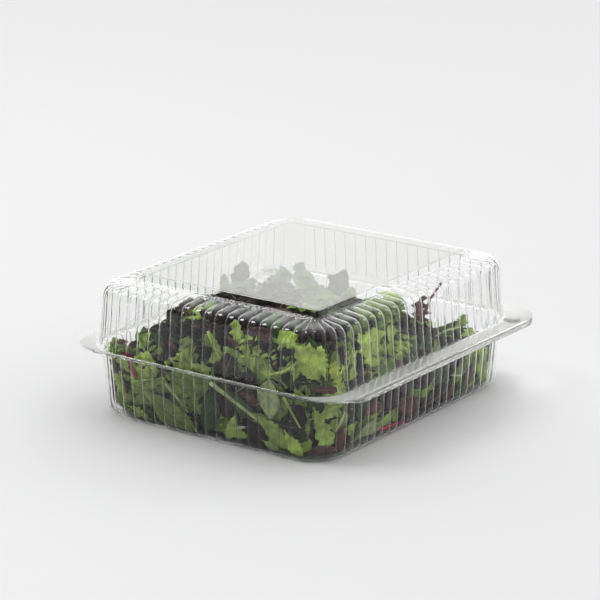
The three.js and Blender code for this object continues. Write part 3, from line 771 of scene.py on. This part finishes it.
# masks for the midrib and side veins of a leaf, from its own spot attribute
def leafVeins():
    group = bpy.data.node_groups.new("leaf veins", "ShaderNodeTree")
    group.interface.new_socket(name="Spot", in_out="INPUT", socket_type="NodeSocketVector")
    group.interface.new_socket(name="Count", in_out="INPUT", socket_type="NodeSocketFloat")
    group.interface.new_socket(name="Midrib", in_out="OUTPUT", socket_type="NodeSocketFloat")
    group.interface.new_socket(name="Veins", in_out="OUTPUT", socket_type="NodeSocketFloat")
    nodes, links = group.nodes, group.links
    start = nodes.new("NodeGroupInput")
    end = nodes.new("NodeGroupOutput")
    split = nodes.new("ShaderNodeSeparateXYZ")
    links.new(start.outputs["Spot"], split.inputs[0])

    def maths(operation, a, b=0.0):
        node = nodes.new("ShaderNodeMath")
        node.operation = operation
        for socket, value in zip(node.inputs, (a, b)):
            if isinstance(value, (int, float)):
                socket.default_value = value
            else:
                links.new(value, socket)
        return node.outputs[0]

    side = maths("ABSOLUTE", split.outputs["Y"])
    taper = maths("MULTIPLY_ADD", split.outputs["X"], -0.07)
    taper.node.inputs[2].default_value = 0.1
    ribEdge = nodes.new("ShaderNodeMapRange")
    ribEdge.interpolation_type = "SMOOTHSTEP"
    links.new(side, ribEdge.inputs["Value"])
    ribEdge.inputs["From Min"].default_value = 0.0
    links.new(taper, ribEdge.inputs["From Max"])
    ribEdge.inputs["To Min"].default_value = 1.0
    ribEdge.inputs["To Max"].default_value = 0.0
    links.new(ribEdge.outputs["Result"], end.inputs["Midrib"])
    slant = maths("SUBTRACT", maths("MULTIPLY", split.outputs["X"], start.outputs["Count"]),
                  maths("MULTIPLY", side, 2.2))
    wave = maths("ABSOLUTE", maths("SUBTRACT", maths("FRACT", slant), 0.5))
    vein = nodes.new("ShaderNodeMapRange")
    vein.interpolation_type = "SMOOTHSTEP"
    links.new(wave, vein.inputs["Value"])
    vein.inputs["From Min"].default_value = 0.0
    vein.inputs["From Max"].default_value = 0.12
    vein.inputs["To Min"].default_value = 1.0
    vein.inputs["To Max"].default_value = 0.0
    fade = maths("MULTIPLY", vein.outputs["Result"], maths("SUBTRACT", 1.0, maths("MULTIPLY", side, 0.8)))
    links.new(fade, end.inputs["Veins"])
    return group


veinGroup = leafVeins()


def leafMaterial(name, ribColour, veinColour, veinShare=0.4, ribShare=0.85, roughness=0.36):
    material, nodes, links = newMaterial(name)
    out = nodes.new("ShaderNodeOutputMaterial")
    leaf = nodes.new("ShaderNodeBsdfPrincipled")
    tint = nodes.new("ShaderNodeAttribute")
    tint.attribute_name = "leafTint"
    spot = nodes.new("ShaderNodeAttribute")
    spot.attribute_name = "leafSpot"
    veins = nodes.new("ShaderNodeGroup")
    veins.node_tree = veinGroup
    veins.inputs["Count"].default_value = 7.0
    links.new(spot.outputs["Vector"], veins.inputs["Spot"])
    coords = nodes.new("ShaderNodeTexCoord")
    mottle = nodes.new("ShaderNodeTexNoise")
    mottle.inputs["Scale"].default_value = 160.0
    mottle.inputs["Detail"].default_value = 4.0
    links.new(coords.outputs["Object"], mottle.inputs["Vector"])
    vary = nodes.new("ShaderNodeMapRange")
    vary.inputs["From Min"].default_value = 0.3
    vary.inputs["From Max"].default_value = 0.7
    vary.inputs["To Min"].default_value = 0.6
    vary.inputs["To Max"].default_value = 1.3
    links.new(mottle.outputs["Fac"], vary.inputs["Value"])

    def blend(mode, a, b, share):
        node = nodes.new("ShaderNodeMix")
        node.data_type = "RGBA"
        node.blend_type = mode
        for socket, value in ((node.inputs["Factor"], share), (node.inputs[6], a), (node.inputs[7], b)):
            if isinstance(value, (int, float, tuple)):
                socket.default_value = value
            else:
                links.new(value, socket)
        return node.outputs[2]

    def scaled(socket, share):
        node = nodes.new("ShaderNodeMath")
        node.operation = "MULTIPLY"
        links.new(socket, node.inputs[0])
        node.inputs[1].default_value = share
        return node.outputs[0]

    colour = blend("MULTIPLY", tint.outputs["Color"], vary.outputs["Result"], 1.0)
    colour = blend("MIX", colour, (*veinColour, 1), scaled(veins.outputs["Veins"], veinShare))
    colour = blend("MIX", colour, (*ribColour, 1), scaled(veins.outputs["Midrib"], ribShare))
    links.new(colour, leaf.inputs["Base Color"])
    leaf.inputs["Roughness"].default_value = roughness
    leaf.inputs["Specular IOR Level"].default_value = 0.25
    bump = nodes.new("ShaderNodeBump")
    bump.inputs["Strength"].default_value = 0.7
    bump.inputs["Distance"].default_value = 0.0012
    relief = nodes.new("ShaderNodeMath")
    relief.operation = "ADD"
    links.new(mottle.outputs["Fac"], relief.inputs[0])
    links.new(veins.outputs["Veins"], relief.inputs[1])
    links.new(relief.outputs[0], bump.inputs["Height"])
    links.new(bump.outputs["Normal"], leaf.inputs["Normal"])
    glow = nodes.new("ShaderNodeBsdfTranslucent")
    links.new(colour, glow.inputs["Color"])
    both = nodes.new("ShaderNodeMixShader")
    both.inputs["Fac"].default_value = 0.28
    links.new(leaf.outputs["BSDF"], both.inputs[1])
    links.new(glow.outputs["BSDF"], both.inputs[2])
    links.new(both.outputs["Shader"], out.inputs["Surface"])
    return material


def floorMaterial():
    material, nodes, links = newMaterial("pale floor")
    out = nodes.new("ShaderNodeOutputMaterial")
    floor = nodes.new("ShaderNodeBsdfPrincipled")
    floor.inputs["Base Color"].default_value = (0.885, 0.885, 0.89, 1)
    floor.inputs["Roughness"].default_value = 0.9
    links.new(floor.outputs["BSDF"], out.inputs["Surface"])
    return material


# assembly
plastic = clearPlastic("clear formed plastic", (0.995, 0.997, 0.997), 1.0, 0.94)
# the white in these two sheets is painted reflection of the bright room, laid on the panel, the flanges and
# the buttons
panelHazePaintedReflection = clearPlastic("hazy panel plastic, painted reflection", (0.80, 0.805, 0.79), 0.85, 0.92)
whiteHazePaintedReflection = clearPlastic("white hazy plastic, painted reflection", (0.81, 0.815, 0.80), 0.7, 0.88)
greenLeaf = leafMaterial("green leaf", (0.46, 0.54, 0.24), (0.58, 0.66, 0.32), 0.3, 0.6)
chardLeaf = leafMaterial("red ribbed leaf", (0.13, 0.03, 0.03), (0.20, 0.26, 0.08), 0.25, 0.85)
stemMaterial = leafMaterial("stem", (0.42, 0.50, 0.20), (0.42, 0.50, 0.20), 0.0, 0.0, 0.35)
# near black throughout: painted shade for the gaps between the leaves
shadeCoreMaterial = leafMaterial("painted shade between leaves", (0.02, 0.03, 0.01), (0.02, 0.03, 0.01), 0.0, 0.0, 0.7)

baseShell = basePiece()
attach(baseShell, "box")
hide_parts("base")
for material in (plastic, whiteHazePaintedReflection):
    baseShell.data.materials.append(material)

lidShell = lidPiece()
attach(lidShell, "top")
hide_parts("lid")
for material in (plastic, panelHazePaintedReflection, whiteHazePaintedReflection):
    lidShell.data.materials.append(material)
# the panel has a light white haze and the flanges a denser one, both painted reflection of the bright room;
# the rest is clear
for shell, index, low, high in ((lidShell, 1, lid["panel"] - box["sheet"], lid["panel"]),
                                (lidShell, 2, lidFloor, lidFloor + box["sheet"]),
                                (baseShell, 1, box["rimHeight"] - box["sheet"], box["rimHeight"])):
    for polygon in shell.data.polygons:
        if low - 0.1 < polygon.center.z / mm < high + 0.1 and abs(polygon.normal.z) > 0.96:
            polygon.material_index = index

flangeTop = lidFloor + box["sheet"]
buttonTop = lidFloor + fittings["height"]
lidButtons = cornerButtons("lid_buttons", fittings["radius"], flangeTop, buttonTop)
baseButtons = cornerButtons("base_buttons", fittings["radius"] - fittings["play"], box["rimHeight"],
                            buttonTop - fittings["play"])
bead = hingeBead()
# the buttons take the denser white haze, painted reflection; the bead stays clear
for piece, body, node, slot, material in ((lidButtons, "top", "lid", "clear_lid", whiteHazePaintedReflection),
                                          (baseButtons, "box", "base", "clear_base", whiteHazePaintedReflection),
                                          (bead, "box", "base", "clear_base", plastic)):
    piece.data.materials.append(material)
    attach(piece, body)
    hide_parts(node)
print("shells made")

core = saladShadeCore()
core.data.materials.append(shadeCoreMaterial)
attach(core, "box")
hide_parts("salad")

for name, (bm, layers) in bunches.items():
    bmesh.ops.recalc_face_normals(bm, faces=bm.faces)
    piece = newPiece(name, bm)
    if name != "stems":
        sheet = piece.modifiers.new("leaf sheet", "SOLIDIFY")
        sheet.thickness = salad["leafSheet"] * mm
        sheet.offset = 0
    piece.data.materials.append({"chard_leaves": chardLeaf, "stems": stemMaterial}.get(name, greenLeaf))
    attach(piece, "box")
    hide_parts("salad")
    print(name, len(piece.data.polygons))

# floor, light and camera
floorMesh = bmesh.new()
bmesh.ops.create_grid(floorMesh, x_segments=2, y_segments=2, size=9.0)
floor = newPiece("floor", floorMesh, False)
floor.data.materials.append(floorMaterial())

studio = {"world": 0.985, "front": 0.25, "behind": 0.02, "left": 8.0, "back": 2.0}
world = bpy.context.scene.world or bpy.data.worlds.new("studio")
bpy.context.scene.world = world
world.use_nodes = True
worldNodes, worldLinks = world.node_tree.nodes, world.node_tree.links
backdrop = worldNodes["Background"]
backdrop.inputs["Color"].default_value = (1, 1, 1, 1)

roomCoords = worldNodes.new("ShaderNodeTexCoord")


def roomGlow(direction, near, far, low, high):
    # goes from low to high as a ray turns towards the direction
    towards = worldNodes.new("ShaderNodeVectorMath")
    towards.operation = "DOT_PRODUCT"
    towards.inputs[1].default_value = direction
    worldLinks.new(roomCoords.outputs["Generated"], towards.inputs[0])
    falloff = worldNodes.new("ShaderNodeMapRange")
    falloff.interpolation_type = "SMOOTHSTEP"
    for socket, value in (("From Min", near), ("From Max", far), ("To Min", low), ("To Max", high)):
        falloff.inputs[socket].default_value = value
    worldLinks.new(towards.outputs["Value"], falloff.inputs["Value"])
    return falloff.outputs["Result"]


# the room is white overhead, and darker where the camera stands
room = roomGlow((0.0, -0.95, 0.3), 0.0, 0.75, studio["world"], studio["world"] * studio["front"])
# the wall behind, which the panel mirrors, is a little brighter
wallBehind = roomGlow((-0.557, 0.777, 0.29), 0.8, 1.0, 0.0, studio["behind"])
strength = worldNodes.new("ShaderNodeMath")
strength.operation = "ADD"
worldLinks.new(room, strength.inputs[0])
worldLinks.new(wallBehind, strength.inputs[1])
worldLinks.new(strength.outputs[0], backdrop.inputs["Strength"])


def softbox(name, direction, distance, size, power):
    light = bpy.data.lights.new(name, "AREA")
    light.shape = "SQUARE"
    light.size = size
    light.energy = power
    lamp = bpy.data.objects.new(name, light)
    bpy.context.scene.collection.objects.link(lamp)
    way = Vector(direction).normalized()
    lamp.location = way * distance
    lamp.rotation_euler = way.to_track_quat("Z", "Y").to_euler()


softbox("left softbox", (-0.55, -0.29, 0.78), 2.2, 0.6, studio["left"])
softbox("back softbox", (0.29, 0.78, 0.56), 2.4, 0.55, studio["back"])

camera = bpy.data.objects.new("camera", bpy.data.cameras.new("camera"))
bpy.context.scene.collection.objects.link(camera)
shot = {"place": (1093.0, -1530.1, 637.8), "lookDown": 16.896, "heading": 35.618, "lens": 179.46}
camera.location = Vector(shot["place"]) * mm
camera.rotation_euler = Euler((math.radians(90 - shot["lookDown"]), 0, math.radians(shot["heading"])))
camera.data.lens = shot["lens"]
camera.data.sensor_width = 36
camera.data.clip_start = 0.01
bpy.context.scene.camera = camera
bpy.context.scene.view_settings.view_transform = "Standard"
bpy.context.scene.view_settings.look = "Medium High Contrast"
# a look through the box passes many faces of clear sheet
for limit in ("max_bounces", "transmission_bounces", "glossy_bounces", "transparent_max_bounces"):
    setattr(bpy.context.scene.cycles, limit, 24)
print("room and camera set")
